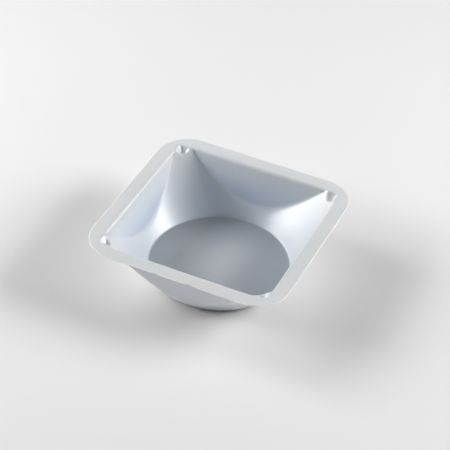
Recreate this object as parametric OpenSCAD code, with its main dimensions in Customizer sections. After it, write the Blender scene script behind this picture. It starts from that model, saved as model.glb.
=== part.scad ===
// Square weighing boat with a round floor, formed in one piece from thin polystyrene sheet.
// The origin is the centre of the underside, +Z points up, and the flange's sides lie along X and Y.
// The cup is a round cone cut by four leaning panels, so each panel ends in an arched crease.
// At the top of each corner a small square dimple is pressed down where the cone meets the flange.

/* [Sheet] */
// Thickness of the formed sheet
sheet = 0.4; // [0.3:0.05:0.5]
// Height from the underside to the top of the flange
height = 23.8; // [20:0.2:27]

/* [Flange] */
// Length of one side of the flange
flange_side = 85; // [83:1:95]
// Radius of the flange's corners
flange_corner = 14; // [10:0.5:16]
// Radius of the lip, where the flange turns down into the cup
lip = 1.5; // [1:0.1:1.8]

/* [Cup] */
// Width across the mouth from panel to panel, at the flange
mouth = 72.2; // [71.4:0.2:73]
// Lean of the four side panels from upright, in degrees
panel_lean = 8.8; // [7:0.2:11]
// Radius of the round wall at the flange, in the corners
mouth_r = 47.5; // [47:0.1:48]
// Radius at which the round wall would meet the floor
floor_r = 29.4; // [27:0.2:31]
// Radius of the fillet round the floor
floor_fillet = 2.2; // [1.6:0.2:4]

/* [Corner dimples] */
// How far the middle of a dimple lies inside the round wall's top edge
dimple_inset = 0.3; // [0:0.1:0.8]
// Half the width of a dimple
dimple_half = 2.4; // [2:0.1:2.6]
// Depth of the dimples below the flange
dimple_depth = 2.6; // [2:0.1:3.2]

/* [Smoothness] */
// Columns from the middle of a panel to its crease
panel_columns = 5; // [4:1:6]
// Columns from a crease to the corner
corner_columns = 8; // [6:1:9]
// Rings on the wall below the dimples
wall_rings = 5; // [3:1:6]

/* [Hidden] */

cup_depth = height - sheet;
panel_slope = tan(panel_lean);
cone_slope = (mouth_r - floor_r) / cup_depth;
cone_lean = atan(cone_slope);
crease_soft_top = 0.4;    // how wide the creases are blended at the flange
crease_soft_floor = 3;    // and at the floor
dimple_soft = 1;          // how wide a dimple's rim is blended
dimple_square = 4;        // 2 makes a dimple round in plan, and more makes it squarer
dimple_flat = 2.5;        // 2 makes its section a bowl, and more makes the bottom flatter
dimple_far = 2;           // the dimple's formula is held level beyond this many half widths
dimple_corner = 2.2;      // how much a dimple's corners are rounded in plan
dimple_least = 0.9;       // least half width kept between the rings beside a dimple
dimple_level = 2;         // depth at which the inner rim's angle is first taken
least_turn = 16;          // the creases end above the floor, and the columns keep at least this angle
floor_margin = 2;         // width of the flat ring inside the floor's fillet
corner = 45;              // angle from the middle of a panel to a corner
fillet_rings = 4;         // rings round the floor's fillet
lip_rings = 4;            // rings over the lip
dimple_gap = 0.7;         // depth between the wall's rings and the lowest ring round a dimple
upper_shares = [0.74, 0.52, 0.36];      // rings on a panel beside the dimples, as shares of that depth
flange_shares = [0.12, 0.3, 0.6, 1];    // rings across the flange beside a panel, from lip to edge
dimple_shares = [-1.4, -1.05, -0.8, -0.45, 0, 0.45, 0.8, 1.05, 1.4];  // rings over a dimple, in half widths
edge_straight = 4;        // columns along the straight half of a flange side
columns = panel_columns + corner_columns;

// The smaller or the larger of two distances, with the step between them rounded
function soft_min(a, b, soft) = min(a, b) - pow(max(soft - abs(a - b), 0), 2) / (4 * soft);
function soft_max(a, b, soft) = -soft_min(-a, -b, soft);

// Distances from the axis at a depth below the flange. The turn is measured from a panel's middle.
function panel_at(d) = mouth / 2 - d * panel_slope;
function cone_at(d) = mouth_r - d * cone_slope;
function crease_soft(d) = crease_soft_top + (crease_soft_floor - crease_soft_top) * d / cup_depth;
function cup_at(turn, d) = soft_min(panel_at(d) / cos(turn), cone_at(d), crease_soft(d));

// Angle of a column at a depth. The columns gather at the crease and follow it down.
function crease_turn(d) = max(acos(min(panel_at(d) / cone_at(d), 1)), least_turn);
function column_turn(j, d) = j < panel_columns
    ? atan(tan(crease_turn(d)) * j / panel_columns)
    : crease_turn(d) + (corner - crease_turn(d)) * (j - panel_columns) / corner_columns;
function across(turn) = [cos(turn), sin(turn)];

// A station is a point of a column, as [x, y, depth].
// The fillet between the floor and the round wall sweeps through the angle between them.
function floor_station(j, share) =
    let (
        sweep = (90 - cone_lean) * share,
        rise = floor_fillet * (1 - cos(sweep)),
        inset = floor_fillet * (sin(sweep) - tan((90 - cone_lean) / 2)) - rise * cone_slope,
        turn = column_turn(j, cup_depth)
    )
    [each (cup_at(turn, cup_depth - rise) + inset) * across(turn), cup_depth - rise];

function wall_station(j, d) =
    let (turn = column_turn(j, d))
    [each cup_at(turn, d) * across(turn), d];

// The lip rolls outward from a panel's slope to the flat flange
function lip_station(j, share) =
    let (
        turn = column_turn(j, 0),
        sweep = (90 - panel_lean) * (1 - share),
        d = lip * (1 - cos(sweep)),
        outset = lip * (tan((90 - panel_lean) / 2) - sin(sweep)) + d * panel_slope
    )
    [each cup_at(turn, d) * across(turn) + [outset, 0], d];

// The flange's edge is a square with round corners
function edge_station(j) =
    let (
        flat_half = flange_side / 2 - flange_corner,
        sweep = corner * max(j - edge_straight, 0) / (columns - edge_straight)
    )
    [
        flat_half + flange_corner * cos(sweep),
        flat_half * min(j / edge_straight, 1) + flange_corner * sin(sweep),
        0
    ];

floor_edge = floor_r - floor_fillet * tan((90 - cone_lean) / 2);
wall_low = cup_depth - floor_fillet * (1 - sin(cone_lean));

// In the corners the rings follow the dimple's rim, from its inner side to its outer side
lip_soft = lip * tan((90 - cone_lean) / 2) / cone_slope;
dimple_reach = (mouth_r - dimple_inset) / sqrt(2);
near_side = dimple_reach - dimple_half;
far_side = dimple_reach + dimple_half;
function cone_depth(r) = (mouth_r - r) / cone_slope;
function near_rim(turn) = soft_max(near_side / sin(turn), near_side / cos(turn), dimple_corner);
function far_rim(turn) = soft_min(far_side / sin(turn), far_side / cos(turn), dimple_corner);
function rim_radii(near, far) =
    let (half = max((far - near) / 2, dimple_least))
    [for (share = dimple_shares) (near + far) / 2 + half * share];
dimple_low = cone_depth(rim_radii(near_rim(corner), far_rim(corner))[0]) + dimple_gap;
wall_depths = [for (i = [1:wall_rings]) wall_low + (dimple_low - wall_low) * i / wall_rings];
function rim_station(j, r) =
    let (d = cone_depth(r))
    [each r * across(column_turn(j, max(d, 0))), soft_max(d, 0, lip_soft)];
function corner_stations(j) =
    let (
        level = max(cone_depth(near_rim(column_turn(j, dimple_level))), 0),
        radii = rim_radii(near_rim(column_turn(j, level)), far_rim(column_turn(j, 0))),
        last = rim_station(j, radii[len(radii) - 1])
    )
    [
        rim_station(j, (cone_at(dimple_low) + radii[0]) / 2),
        for (r = radii) rim_station(j, r),
        (last + edge_station(j)) / 2,
        edge_station(j)
    ];

// Beside a panel they run up the wall, over the lip and across the flange
function panel_stations(j) = [
    for (share = upper_shares) wall_station(j, dimple_low * share),
    for (i = [0:lip_rings]) lip_station(j, i / lip_rings),
    for (share = flange_shares) lip_station(j, 1) * (1 - share) + edge_station(j) * share
];

// A column runs from the floor's flat to the flange's edge
function column(j) = [
    [each (floor_edge - floor_margin) * across(column_turn(j, cup_depth)), cup_depth],
    for (i = [0:fillet_rings]) floor_station(j, i / fillet_rings),
    for (d = wall_depths) wall_station(j, d),
    each j < panel_columns ? panel_stations(j) : corner_stations(j)
];

// Half a panel's columns, worked out once and then mirrored and turned round the axis
half_panel = [for (j = [0:columns]) column(j)];
rings = len(half_panel[0]);
around = 8 * columns;

// The column and its turn at one place round the boat, counted from a corner
function side_of(k) = floor(k / (2 * columns));
function step_of(k) = k % (2 * columns) - columns;
function smooth_point(i, k) =
    let (
        s = half_panel[abs(step_of(k))][i],
        y = sign(step_of(k)) * s[1],
        angle = 90 * side_of(k)
    )
    [s[0] * cos(angle) - y * sin(angle), s[0] * sin(angle) + y * cos(angle), height - s[2]];

smooth = [for (i = [0:rings - 1]) [for (k = [0:around - 1]) smooth_point(i, k)]];

// The underside is the upper face moved square to itself by the sheet's thickness
function at(i, k) = smooth[max(min(i, rings - 1), 0)][(k + around) % around];
function facing(i, k) =
    let (n = cross(at(i, k + 1) - at(i, k - 1), at(i + 1, k) - at(i - 1, k)))
    n / norm(n);
smooth_under = [for (i = [0:rings - 1]) [for (k = [0:around - 1]) at(i, k) + sheet * facing(i, k)]];

// Each face is pressed down over the corner dimples, the underside by a dimple wider by the sheet
function dimple_at(p, extra) =
    let (
        half = dimple_half + extra,
        aside = [for (axis = [0:1]) pow(abs(abs(p[axis]) - dimple_reach) / half, dimple_square)],
        away = min(pow(aside[0] + aside[1], 1 / dimple_square), dimple_far)
    )
    (dimple_depth + extra) * (1 - pow(away, dimple_flat));
function pressed(p, extra) =
    [p[0], p[1], height - soft_max(height - p[2], dimple_at(p, extra), dimple_soft)];
inner = [for (ring = smooth) [for (p = ring) pressed(p, 0)]];
outer = [for (ring = smooth_under) [for (p = ring) pressed(p, sheet)]];

function index(skin, i, k) = (skin * rings + i) * around + (k + around) % around;
function quad(a, b, c, d, mirrored) = mirrored ? [[a, d, b], [b, d, c]] : [[a, c, b], [a, d, c]];
function band(i, k) = let (mirrored = step_of(k) < 0) [
    each quad(index(0, i, k), index(0, i + 1, k), index(0, i + 1, k + 1), index(0, i, k + 1), mirrored),
    each quad(index(1, i, k + 1), index(1, i + 1, k + 1), index(1, i + 1, k), index(1, i, k), mirrored)
];
function cut_edge(k) = quad(
    index(0, rings - 1, k), index(1, rings - 1, k),
    index(1, rings - 1, k + 1), index(0, rings - 1, k + 1), step_of(k) < 0);

module weighing_boat() {
    color([0.87, 0.88, 0.9])
    polyhedron(
        points = [each each inner, each each outer],
        faces = [
            [for (k = [0:around - 1]) index(0, 0, around - 1 - k)],
            [for (k = [0:around - 1]) index(1, 0, k)],
            for (i = [0:rings - 2], k = [0:around - 1]) each band(i, k),
            for (k = [0:around - 1]) each cut_edge(k)
        ]
    );
}

weighing_boat();
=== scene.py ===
from math import acos, atan, atan2, cos, hypot, pi, radians, sin, sqrt, tan

import bmesh
import bpy
from mathutils import Matrix, Vector


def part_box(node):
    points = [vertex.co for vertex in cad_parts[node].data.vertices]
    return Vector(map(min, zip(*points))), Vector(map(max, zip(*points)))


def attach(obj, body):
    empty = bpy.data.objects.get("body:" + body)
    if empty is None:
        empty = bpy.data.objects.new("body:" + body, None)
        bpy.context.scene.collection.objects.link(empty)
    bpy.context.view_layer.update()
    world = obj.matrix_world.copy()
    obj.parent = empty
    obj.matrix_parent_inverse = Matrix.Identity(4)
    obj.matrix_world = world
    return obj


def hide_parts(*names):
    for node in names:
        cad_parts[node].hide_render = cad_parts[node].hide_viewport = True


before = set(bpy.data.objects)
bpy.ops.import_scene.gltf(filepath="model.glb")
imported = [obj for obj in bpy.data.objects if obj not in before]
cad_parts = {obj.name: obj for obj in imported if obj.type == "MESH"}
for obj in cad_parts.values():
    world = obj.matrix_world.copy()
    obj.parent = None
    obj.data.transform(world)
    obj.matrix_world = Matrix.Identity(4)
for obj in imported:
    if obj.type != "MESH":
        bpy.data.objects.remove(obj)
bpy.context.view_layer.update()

mm = 0.001
low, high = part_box("weighing_boat")
print("frame loaded, boat", [round(side / mm, 2) for side in high - low], "mm")


boat = {
    "sheet": 0.4 * mm,
    "side": high.x - low.x,          # flange, edge to edge
    "height": high.z - low.z,
    "flangeCorner": 14 * mm,
    "lip": 1.5 * mm,                 # radius where the flange turns down
    "mouth": 72.2 * mm,              # panel to panel at the flange
    "panelLean": radians(8.8),
    "coneTop": 47.5 * mm,            # round wall's radius at the flange
    "floorRadius": 28.9 * mm,        # and where it would meet the floor
    "floorFillet": 1.2 * mm,
    "creaseTop": 0.4 * mm,           # how softly panel and cone meet at the flange
    "creaseFloor": 1.4 * mm,         # and down at the floor
    "dimpleInset": 0.3 * mm,         # dimple's middle inside the round wall's top edge
    "dimpleHalf": 2.4 * mm,
    "dimpleDepth": 2.3 * mm,
    "dimpleSoft": 1 * mm,            # how softly its rim is rounded
    "dimpleCorner": 2.2 * mm,        # and how softly the rings turn at its corners
    "dimpleSquare": 4,               # 2 makes it round in plan, more makes it squarer
    "dimpleFlat": 2.5,               # 2 makes a bowl, more makes a flatter bottom
    "trimWidth": 5 * mm,             # strip along the edge that strays and dips
    "edgeWander": 0.35 * mm,         # how far the trimmed edge strays inward
    "flangeSag": 0.2 * mm,           # and how far the flange dips in places
    # how many waves go round the boat, and where each starts
    "edgeWaves": ((13, 0.4), (22, 1.9), (37, 4.1), (58, 2.6)),
    "sagWaves": ((5, 0.7), (11, 2.2), (17, 5.0)),
    "cutRounding": 0.07 * mm,        # radius along the cut edge
}


def softMin(a, b, soft):
    return min(a, b) - max(soft - abs(a - b), 0) ** 2 / (4 * soft)


def softMax(a, b, soft):
    return -softMin(-a, -b, soft)


def onPlan(turn, radius):
    return Vector((radius * cos(turn), radius * sin(turn)))


def wave(point, waves):
    # a slow wave round the boat, from 0 to 1
    turn = atan2(point.y, point.x)
    return 0.5 + sum(sin(number * turn + start) for number, start in waves) / (2 * len(waves))


class FormedWall:
    # columns of stations up the inner wall, from a panel's middle to a corner,
    # each station a place in plan and a depth below the flange

    panelColumns = 20                # from a panel's middle to its crease
    columns = 44                     # and on to the corner
    straightColumns = 14             # of these, the ones along the straight edge
    leastTurn = radians(16)          # creases end above the floor, columns keep this angle
    filletRings = 8
    wallRings = 20
    lipRings = 8
    floorShares = (0.15, 0.4, 0.65, 0.85, 0.95)

    # in a corner the rings cross the dimple, in half widths, and go on over the flange
    dimpleShares = (-1.6, -1.4, -1.22, -1.1, -1.02, -0.94, -0.85, -0.74, -0.6, -0.42, -0.2,
                    0, 0.2, 0.42, 0.6, 0.74, 0.85, 0.94, 1.02, 1.1, 1.22, 1.4)
    cornerFlange = (0.2, 0.45, 0.7, 0.88, 0.97, 1)
    dimpleGap = 0.5 * mm             # depth from the wall's rings to the dimple's lowest
    dimpleLeast = 0.9 * mm           # least half width that its rings keep
    dimpleLevel = 2 * mm             # depth at which its inner rim's angle is first taken
    dimpleFar = 2                    # its formula is held level beyond this many half widths

    # beside it, as many rings go up the panel, over the lip and over the flange
    upperShares = (0.9, 0.8, 0.7, 0.62, 0.54, 0.47, 0.41, 0.36, 0.31, 0.27)
    panelFlange = (0.04, 0.1, 0.18, 0.28, 0.4, 0.55, 0.72, 0.88, 0.97, 1)

    def __init__(self, settings):
        self.s = settings
        self.cupDepth = settings["height"] - settings["sheet"]
        self.coneSlope = (settings["coneTop"] - settings["floorRadius"]) / self.cupDepth
        self.coneLean = atan(self.coneSlope)
        self.dimpleReach = (settings["coneTop"] - settings["dimpleInset"]) / sqrt(2)
        lowest = self.rimRadii(self.nearRim(pi / 4), self.farRim(pi / 4))[0]
        self.dimpleLow = self.coneDepth(lowest) + self.dimpleGap

    def panel(self, depth):
        return self.s["mouth"] / 2 - depth * tan(self.s["panelLean"])

    def cone(self, depth):
        return self.s["coneTop"] - depth * self.coneSlope

    def coneDepth(self, radius):
        return (self.s["coneTop"] - radius) / self.coneSlope

    def cup(self, turn, depth):
        top, bottom = self.s["creaseTop"], self.s["creaseFloor"]
        soft = top + (bottom - top) * depth / self.cupDepth
        return softMin(self.panel(depth) / cos(turn), self.cone(depth), soft)

    def turn(self, column, depth):
        # columns gather at the crease and follow it down
        crease = acos(min(self.panel(depth) / self.cone(depth), 1))
        crease = max(crease, self.leastTurn)
        past = column - self.panelColumns
        if past < 0:
            return atan(tan(crease) * column / self.panelColumns)
        return crease + (pi / 4 - crease) * past / (self.columns - self.panelColumns)

    def wallStation(self, column, depth):
        turn = self.turn(column, depth)
        return onPlan(turn, self.cup(turn, depth)), depth

    def filletStation(self, column, share):
        fillet, lean = self.s["floorFillet"], pi / 2 - self.coneLean
        rise = fillet * (1 - cos(lean * share))
        out = fillet * (sin(lean * share) - tan(lean / 2)) - rise * self.coneSlope
        turn, depth = self.turn(column, self.cupDepth), self.cupDepth - rise
        return onPlan(turn, self.cup(turn, depth) + out), depth

    def lipStation(self, column, share):
        lip, lean = self.s["lip"], self.s["panelLean"]
        sweep = (pi / 2 - lean) * (1 - share)
        depth = lip * (1 - cos(sweep))
        out = lip * (tan((pi / 2 - lean) / 2) - sin(sweep)) + depth * tan(lean)
        turn = self.turn(column, 0)
        return onPlan(turn, self.cup(turn, depth)) + Vector((out, 0)), depth

    def edgePlace(self, column):
        # the flange's edge is a square with round corners
        corner, straight = self.s["flangeCorner"], self.straightColumns
        flat = self.s["side"] / 2 - corner
        sweep = pi / 4 * max(column - straight, 0) / (self.columns - straight)
        y = flat * min(column / straight, 1) + corner * sin(sweep)
        return Vector((flat + corner * cos(sweep), y))

    def onToEdge(self, stations, column, shares):
        last, edge = stations[-1][0], self.edgePlace(column)
        return stations + [(last.lerp(edge, share), 0) for share in shares]

    def nearRim(self, turn):
        side = self.dimpleReach - self.s["dimpleHalf"]
        return softMax(side / sin(turn), side / cos(turn), self.s["dimpleCorner"])

    def farRim(self, turn):
        side = self.dimpleReach + self.s["dimpleHalf"]
        return softMin(side / sin(turn), side / cos(turn), self.s["dimpleCorner"])

    def rimRadii(self, near, far):
        half = max((far - near) / 2, self.dimpleLeast)
        return [(near + far) / 2 + half * share for share in self.dimpleShares]

    def rimStation(self, column, radius):
        depth = self.coneDepth(radius)
        soft = self.s["lip"] * tan((pi / 2 - self.coneLean) / 2) / self.coneSlope
        return onPlan(self.turn(column, max(depth, 0)), radius), softMax(depth, 0, soft)

    def cornerStations(self, column):
        near = self.nearRim(self.turn(column, self.dimpleLevel))
        near = self.nearRim(self.turn(column, max(self.coneDepth(near), 0)))
        radii = self.rimRadii(near, self.farRim(self.turn(column, 0)))
        first = (self.cone(self.dimpleLow) + radii[0]) / 2
        stations = [self.rimStation(column, radius) for radius in [first] + radii]
        return self.onToEdge(stations, column, self.cornerFlange)

    def panelStations(self, column):
        stations = [self.wallStation(column, self.dimpleLow * share)
                    for share in self.upperShares]
        stations += [self.lipStation(column, i / self.lipRings)
                     for i in range(self.lipRings + 1)]
        return self.onToEdge(stations, column, self.panelFlange)

    def column(self, number):
        fillet, deepest, highest = self.s["floorFillet"], self.cupDepth, self.dimpleLow
        floorEdge = self.s["floorRadius"] - fillet * tan((pi / 2 - self.coneLean) / 2)
        wallLow = deepest - fillet * (1 - sin(self.coneLean))
        turn = self.turn(number, deepest)
        stations = [(onPlan(turn, floorEdge * share), deepest) for share in self.floorShares]
        stations += [self.filletStation(number, i / self.filletRings)
                     for i in range(self.filletRings + 1)]
        stations += [self.wallStation(number, wallLow + (highest - wallLow) * i / self.wallRings)
                     for i in range(1, self.wallRings + 1)]
        if number < self.panelColumns:
            return stations + self.panelStations(number)
        return stations + self.cornerStations(number)

    def dimple(self, point, wider):
        half = self.s["dimpleHalf"] + wider
        square = self.s["dimpleSquare"]
        aside = [(abs(abs(point[axis]) - self.dimpleReach) / half) ** square for axis in (0, 1)]
        away = min(sum(aside) ** (1 / square), self.dimpleFar)
        return (self.s["dimpleDepth"] + wider) * (1 - away ** self.s["dimpleFlat"])

    def pressed(self, point, wider):
        height = self.s["height"]
        depth = softMax(height - point.z, self.dimple(point, wider), self.s["dimpleSoft"])
        return Vector((point.x, point.y, height - depth))

    def trimmed(self, point):
        # the sheet was trimmed while warm, so its edge wanders and the flange dips a little
        corner, strip = self.s["flangeCorner"], self.s["trimWidth"]
        flat = self.s["side"] / 2 - corner
        reach = hypot(max(abs(point.x) - flat, 0), max(abs(point.y) - flat, 0))
        share = min(max((reach - (corner - strip)) / strip, 0), 1)
        inward = self.s["edgeWander"] * share ** 2 * wave(point, self.s["edgeWaves"]) ** 2
        sag = self.s["flangeSag"] * share * wave(point, self.s["sagWaves"])
        scale = 1 - inward / hypot(point.x, point.y)
        return Vector((point.x * scale, point.y * scale, point.z - sag))

    def rings(self):
        # half a panel's columns mirrored and turned into eight halves round the axis,
        # ring by ring from the floor out
        half = [self.column(number) for number in range(self.columns + 1)]
        rings = []
        for stations in zip(*half):
            ring = []
            for k in range(8 * self.columns):
                quarter, step = divmod(k, 2 * self.columns)
                step -= self.columns
                place, depth = stations[abs(step)]
                y = place.y if step > 0 else -place.y
                point = Vector((place.x, y, self.s["height"] - depth))
                turned = Matrix.Rotation(quarter * pi / 2, 3, "Z") @ point
                ring.append(self.trimmed(turned))
            rings.append(ring)
        return rings

    def under(self, rings):
        # the same rings moved square to the sheet by its thickness
        around, last = len(rings[0]), len(rings) - 1
        moved = []
        for i, ring in enumerate(rings):
            inner, outer = rings[max(i - 1, 0)], rings[min(i + 1, last)]
            below = []
            for k, point in enumerate(ring):
                down = (ring[(k + 1) % around] - ring[k - 1]).cross(outer[k] - inner[k])
                below.append(point + self.s["sheet"] * down.normalized())
            moved.append(below)
        return moved

    def addSkin(self, mesh, rings, wider):
        return [[mesh.verts.new(self.pressed(point, wider)) for point in ring] for ring in rings]


def addObject(name, data):
    made = bpy.data.objects.new(name, data)
    bpy.context.collection.objects.link(made)
    return made


def addMesh(name, mesh):
    data = bpy.data.meshes.new(name)
    mesh.to_mesh(data)
    mesh.free()
    return addObject(name, data)


def buildBoat():
    wall = FormedWall(boat)
    smooth = wall.rings()
    mesh = bmesh.new()
    rounded = mesh.edges.layers.float.new("bevel_weight_edge")
    upper = wall.addSkin(mesh, smooth, 0)
    lower = wall.addSkin(mesh, wall.under(smooth), boat["sheet"])
    for k in range(len(smooth[0])):
        before = k - 1
        for inner, outer in zip(upper, upper[1:]):
            mesh.faces.new((inner[before], outer[before], outer[k], inner[k]))
        for inner, outer in zip(lower, lower[1:]):
            mesh.faces.new((inner[k], outer[k], outer[before], inner[before]))
        mesh.faces.new((upper[-1][before], lower[-1][before], lower[-1][k], upper[-1][k]))
        for rim in (upper[-1], lower[-1]):
            mesh.edges.get((rim[before], rim[k]))[rounded] = 1
    mesh.faces.new(upper[0])
    mesh.faces.new(reversed(lower[0]))
    piece = addMesh("formed_boat", mesh)
    piece.data.shade_smooth()

    rounding = piece.modifiers.new("cut edge", "BEVEL")
    rounding.width = boat["cutRounding"]
    rounding.segments = 2
    rounding.limit_method = "WEIGHT"
    return piece


class Wire:
    # an output socket that takes part in plain arithmetic

    def __init__(self, tree, socket=None):
        self.tree = tree
        self.socket = socket

    def feed(self, node, inputs):
        # a link or a value into each input that is named
        sockets = {socket.identifier: socket for socket in node.inputs}
        for name, value in inputs.items():
            if isinstance(value, Wire):
                self.tree.links.new(value.socket, sockets[name])
            else:
                sockets[name].default_value = value

    def node(self, kind, settings, inputs, output=0):
        made = self.tree.nodes.new(kind)
        for name, value in settings.items():
            if name == "stops":
                elements = made.color_ramp.elements
                while len(elements) < len(value):
                    elements.new(0.5)
                for element, (place, colour) in zip(elements, value):
                    element.position = place
                    element.color = colour
            else:
                setattr(made, name, value)
        self.feed(made, inputs)
        return Wire(self.tree, made.outputs[output])

    def outputs(self, kind, inputs):
        # all of a node's outputs by name
        made = self.node(kind, {}, inputs).socket.node
        return {socket.name: Wire(self.tree, socket) for socket in made.outputs}

    def maths(self, operation, a, b=0.0, clamp=False):
        return self.node("ShaderNodeMath", {"operation": operation, "use_clamp": clamp},
                         {"Value": a, "Value_001": b})

    def __add__(self, other):
        return self.maths("ADD", self, other)

    def __radd__(self, other):
        return self.maths("ADD", other, self)

    def __sub__(self, other):
        return self.maths("SUBTRACT", self, other)

    def __rsub__(self, other):
        return self.maths("SUBTRACT", other, self)

    def __mul__(self, other):
        return self.maths("MULTIPLY", self, other)

    def __rmul__(self, other):
        return self.maths("MULTIPLY", other, self)

    def __truediv__(self, other):
        return self.maths("DIVIDE", self, other)

    def __rtruediv__(self, other):
        return self.maths("DIVIDE", other, self)

    def __abs__(self):
        return self.maths("ABSOLUTE", self)

    def clamped(self):
        return self.maths("ADD", self, 0.0, clamp=True)

    def rising(self, start, width):
        # 0 up to start, and 1 from start + width on
        return ((self - start) / width).clamped()

    def lengthWith(self, other):
        return self.maths("SQRT", self * self + other * other)

    def noise(self, place, scale, detail=2.0):
        return self.node("ShaderNodeTexNoise", {},
                         {"Vector": place, "Scale": scale, "Detail": detail})

    def blend(self, factor, a, b):
        return self.node("ShaderNodeMix", {"data_type": "RGBA"},
                         {"Factor_Float": factor, "A_Color": a, "B_Color": b}, output=2)


def newMaterial(name):
    material = bpy.data.materials.new(name)
    material.use_nodes = True
    nodes = material.node_tree.nodes
    shader = next(node for node in nodes if node.type == "BSDF_PRINCIPLED")
    wire = Wire(material.node_tree)
    place = wire.outputs("ShaderNodeTexCoord", {})["Object"]
    return material, shader, wire, place


polystyrene = {
    # painted light and shade: the flange is paler, and the wall darker and bluer going down
    "flange": (0.67, 0.68, 0.68, 1),
    "wall": (0.575, 0.597, 0.619, 1),
    # painted shade: the steep panels' darker, bluer colour
    "panel": (0.475, 0.51, 0.565, 1),
    # painted light: a paler, neutral grey for faces that look down
    "outside": (0.63, 0.63, 0.625, 1),
    # painted highlight along the cut edge
    "edge": (0.88, 0.89, 0.89, 1),
    # the floor from its middle out, as shares of its radius, with painted shade growing darker
    # and bluer towards the walls
    "floor": [(0, (0.64, 0.69, 0.76, 1)), (0.22, (0.625, 0.675, 0.745, 1)),
              (0.45, (0.57, 0.62, 0.7, 1)), (0.7, (0.505, 0.55, 0.62, 1)),
              (0.88, (0.465, 0.51, 0.58, 1))],
    "shadeFade": 1.6,               # how soon the flange's pale colour gives way to the wall's painted shade, going down
    "panelUp": 0.25,                 # walls that look up less than this are panels, and take the panels' painted shade
    "panelBlend": 0.2,
    "floorTop": 0.56 * mm,           # the floor's colours end at this height
    "floorBlend": 0.12 * mm,
    "outsideBlend": 0.125,           # how soon faces that look down take the outside's painted light
    "edgeWidth": 0.35 * mm,
    "edgeBlend": 0.3 * mm,
    "mottleScale": 220,
    "mottleDetail": 3,
    "wallMottle": 0.25,
    "floorMottle": 0.08,
    "roughness": 0.36,
    "smearScale": 90,
    "smear": 0.12,                   # how much the roughness varies
    "rippleScale": 320,
    "rippleStrength": 0.15,
    "rippleHeight": 0.05 * mm,
    "coat": 0.55,
    "coatRoughness": 0.33,
    "ior": 1.59,
    "subsurface": 0.9,
    "subsurfaceRadius": (0.9, 1.0, 1.2),
    "subsurfaceScale": 1 * mm,
}


def makePolystyrene():
    look = polystyrene
    material, shader, wire, place = newMaterial("polystyrene")
    x, y, z = wire.outputs("ShaderNodeSeparateXYZ", {"Vector": place}).values()
    facing = wire.outputs("ShaderNodeNewGeometry", {})["Normal"]
    up = wire.outputs("ShaderNodeSeparateXYZ", {"Vector": facing})["Z"]
    mottle = wire.noise(place, look["mottleScale"], look["mottleDetail"]) - 0.5

    # painted shade: the steep panels are darker and bluer than the round wall, and both fade
    # into the paler flange
    steepShade = abs(up).rising(look["panelUp"], look["panelBlend"])
    colour = wire.blend(steepShade, look["panel"], look["wall"])
    shadeGoingDown = (1 - z / boat["height"]) * look["shadeFade"]
    colour = wire.blend((shadeGoingDown + mottle * look["wallMottle"]).clamped(), look["flange"], colour)

    # painted shade: the floor is palest in its middle and darker and bluer out towards the
    # walls, which shade it
    middle = x.lengthWith(y) / boat["floorRadius"]
    floor = wire.node("ShaderNodeValToRGB", {"stops": look["floor"]},
                      {"Fac": middle + mottle * look["floorMottle"]})
    onFloor = z.rising(look["floorTop"], -look["floorBlend"])
    colour = wire.blend(onFloor, colour, floor)
    # painted light: faces that look down take a paler, neutral grey, standing in for light that
    # passes through the sheet
    colour = wire.blend(up.rising(0, -look["outsideBlend"]), colour, look["outside"])

    # painted highlight: the cut edge is painted paler, where light gathers in it
    flat = boat["side"] / 2 - boat["flangeCorner"]
    besideX, besideY = (wire.maths("MAXIMUM", abs(axis) - flat, 0) for axis in (x, y))
    edgeStart = boat["flangeCorner"] - look["edgeWidth"]
    edge = besideX.lengthWith(besideY).rising(edgeStart, look["edgeBlend"])
    colour = wire.blend(edge, colour, look["edge"])

    smear = (wire.noise(place, look["smearScale"]) - 0.5) * look["smear"]
    ripple = wire.node("ShaderNodeBump", {}, {
        "Height": wire.noise(place, look["rippleScale"]),
        "Strength": look["rippleStrength"],
        "Distance": look["rippleHeight"],
    })
    wire.feed(shader, {
        "Base Color": colour,
        "Roughness": look["roughness"] + smear,
        "Normal": ripple,
        "IOR": look["ior"],
        "Coat Weight": look["coat"],
        "Coat Roughness": look["coatRoughness"],
        "Coat IOR": look["ior"],
        "Subsurface Weight": look["subsurface"],
        "Subsurface Radius": look["subsurfaceRadius"],
        "Subsurface Scale": look["subsurfaceScale"],
    })
    return material


studio = {
    "floor": (0.8, 0.8, 0.8, 1),
    "beyond": (0.78, 0.78, 0.78, 1),   # what the floor and the low screen round it fade to
    "litReach": 0.16,
    "litFade": 0.28,
    "paperRoughness": 0.9,
    "screenRadius": 2.8,
    "screenHeight": 0.7,
    "screenSides": 96,
    "ambient": 0.02,
    "ambientColour": (0.97, 0.985, 1, 1),
    "lampDistance": 0.8,
    # azimuth 0 is in front of the boat, at -Y, and 90 on its right
    "lamps": {
        "left_softbox": {"azimuth": -78, "elevation": 26, "size": (0.66, 0.3), "power": 4.3},
        "left_near": {"azimuth": -66, "elevation": 28, "size": (0.3, 0.3), "power": 1.3},
        "left_back": {"azimuth": -100, "elevation": 36, "size": (0.3, 0.3), "power": 1.9},
        "right_softbox": {"azimuth": 118, "elevation": 30, "size": (0.4, 0.26), "power": 5.6},
        "right_low": {"azimuth": 120, "elevation": 14, "size": (0.2, 0.2), "power": 1.3},
    },
}


def toward(azimuth, elevation):
    azimuth, elevation = radians(azimuth), radians(elevation)
    level = cos(elevation)
    return Vector((sin(azimuth) * level, -cos(azimuth) * level, sin(elevation)))


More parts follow.
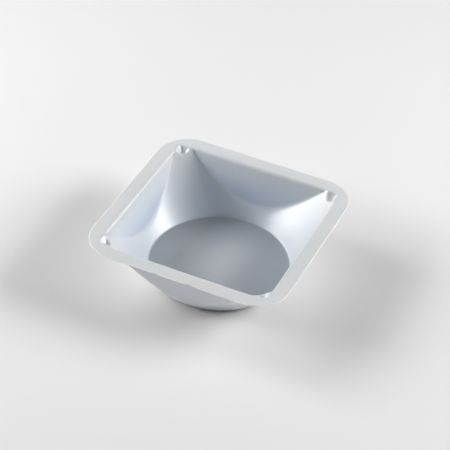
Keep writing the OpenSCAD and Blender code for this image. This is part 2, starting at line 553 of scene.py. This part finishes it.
def makePaper():
    # lit paper near the boat, which reads as pale on past the lamps' reach
    material, shader, wire, place = newMaterial("studio_paper")
    plan = wire.outputs("ShaderNodeSeparateXYZ", {"Vector": place})
    past = plan["X"].lengthWith(plan["Y"]).rising(studio["litReach"], studio["litFade"])
    rays = wire.outputs("ShaderNodeLightPath", {})
    seen = rays["Is Camera Ray"] + rays["Is Glossy Ray"] + rays["Is Transmission Ray"]
    far = past * seen.clamped()
    black = (0, 0, 0, 1)
    wire.feed(shader, {
        "Base Color": wire.blend(far, studio["floor"], black),
        "Emission Color": wire.blend(far, black, studio["beyond"]),
        "Emission Strength": 1,
        "Roughness": studio["paperRoughness"],
    })
    return material


def buildStage(name, mesh, material):
    piece = addMesh(name, mesh)
    piece.data.materials.append(material)


def buildStudio():
    paper = makePaper()
    radius = studio["screenRadius"]
    floor = bmesh.new()
    bmesh.ops.create_grid(floor, x_segments=1, y_segments=1, size=radius)
    buildStage("floor", floor, paper)
    screen = bmesh.new()
    bmesh.ops.create_cone(screen, segments=studio["screenSides"], radius1=radius, radius2=radius,
                          depth=2 * studio["screenHeight"])
    buildStage("screen", screen, paper)

    aim = Vector((0, 0, boat["height"] / 2))
    for name, lamp in studio["lamps"].items():
        light = bpy.data.lights.new(name, "AREA")
        light.shape = "RECTANGLE"
        light.size, light.size_y = lamp["size"]
        light.energy = lamp["power"]
        holder = addObject(name, light)
        out = toward(lamp["azimuth"], lamp["elevation"])
        holder.location = aim + out * studio["lampDistance"]
        holder.rotation_euler = (holder.location - aim).to_track_quat("Z", "Y").to_euler()

    world = bpy.data.worlds.new("studio")
    world.use_nodes = True
    background = world.node_tree.nodes["Background"]
    background.inputs["Color"].default_value = studio["ambientColour"]
    background.inputs["Strength"].default_value = studio["ambient"]
    bpy.context.scene.world = world


camera = {
    "azimuth": 23.49,
    "elevation": 39.52,
    "roll": radians(2.73),
    "distance": 0.730,
    "right": 1.62 * mm,       # how far the camera stands off the line to the flange's middle
    "up": -2.92 * mm,
    "lens": 146.4,
    "sensor": 36,
    "nearest": 0.01,
}


def placeCamera():
    back = toward(camera["azimuth"], camera["elevation"])
    level = Vector((0, 0, 1)).cross(back).normalized()
    rise = back.cross(level)
    right = level * cos(camera["roll"]) + rise * sin(camera["roll"])
    up = rise * cos(camera["roll"]) - level * sin(camera["roll"])
    lens = bpy.data.cameras.new("camera")
    lens.lens = camera["lens"]
    lens.sensor_width = camera["sensor"]
    lens.clip_start = camera["nearest"]
    holder = addObject("camera", lens)
    place = Vector((0, 0, boat["height"])) + back * camera["distance"]
    place += right * camera["right"] + up * camera["up"]
    turned = Matrix((right, up, back)).transposed().to_4x4()
    holder.matrix_world = Matrix.Translation(place) @ turned
    bpy.context.scene.camera = holder


formedBoat = buildBoat()
formedBoat.data.materials.append(makePolystyrene())
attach(formedBoat, "root")
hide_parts("weighing_boat")
print("boat built")

buildStudio()
placeCamera()
bpy.context.scene.view_settings.view_transform = "Standard"
print("studio lit")
